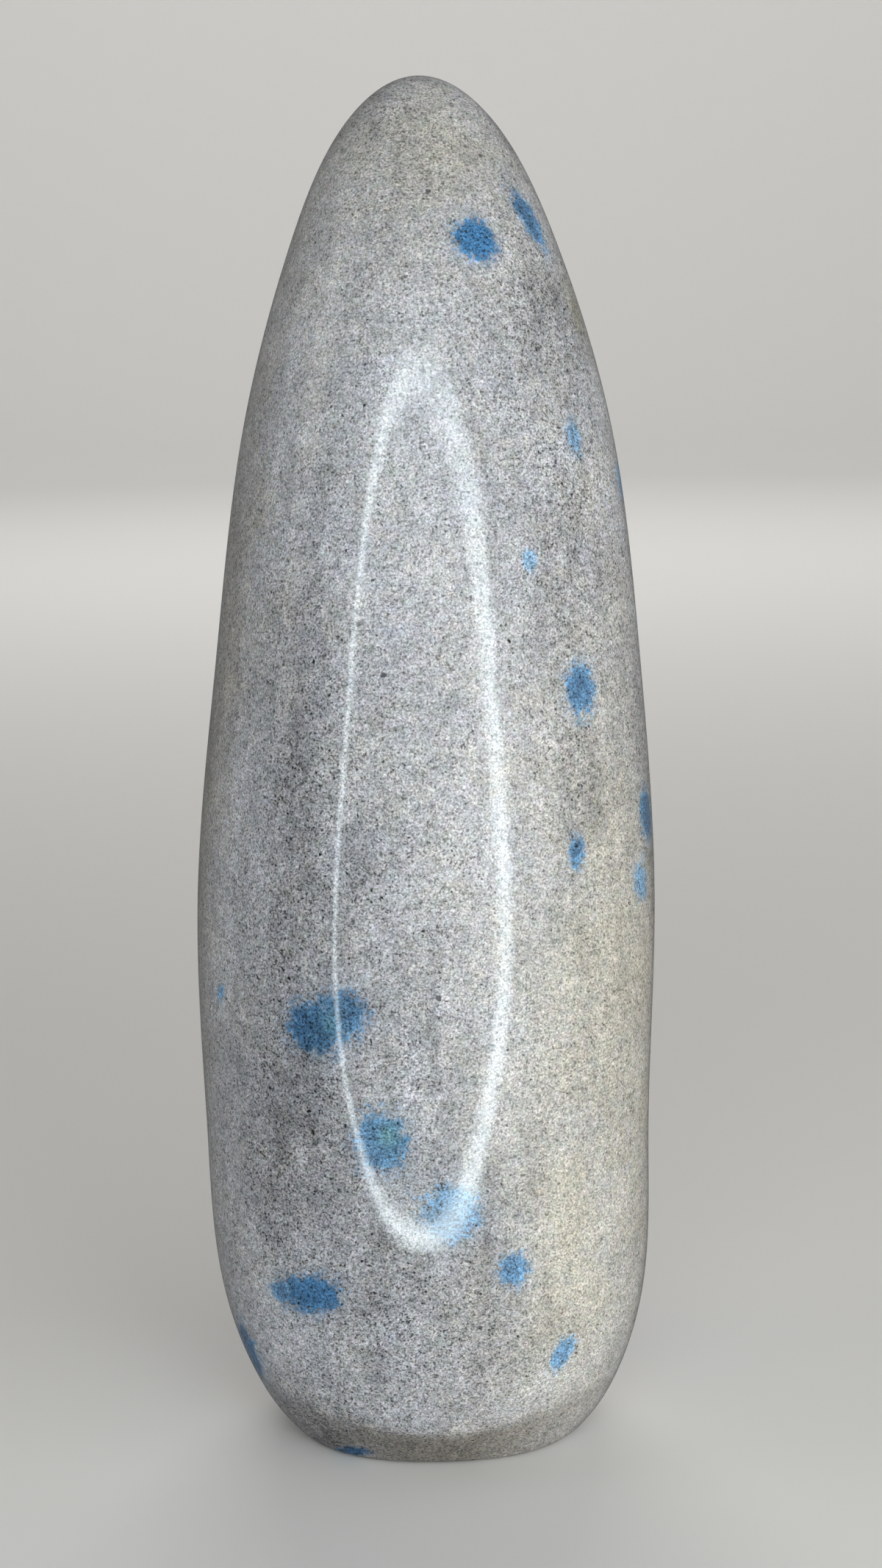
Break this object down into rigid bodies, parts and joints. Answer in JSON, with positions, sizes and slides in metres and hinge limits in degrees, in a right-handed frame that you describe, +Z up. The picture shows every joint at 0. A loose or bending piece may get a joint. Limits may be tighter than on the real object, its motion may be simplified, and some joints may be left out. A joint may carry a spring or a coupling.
{
  "type": "polished granite freeform",
  "caption": "Tall polished granite freeform, an oval stone tapering to a rounded tip, with blue mineral spots and a flat base to stand on.",
  "frame": {"origin": "middle of the stone's plan, on the plane it stands on", "axes": "+Z up towards the rounded tip, -Y out of the front face, +X to the right of someone who looks at the front"},
  "size_m": [0.0582, 0.0496, 0.171],
  "materials": {
    "stone": "polished pale grey granite, fine salt-and-pepper grain, scattered blue spots"
  },
  "bodies": {
    "root": {"stone": "stone"}
  },
  "joints": []
}
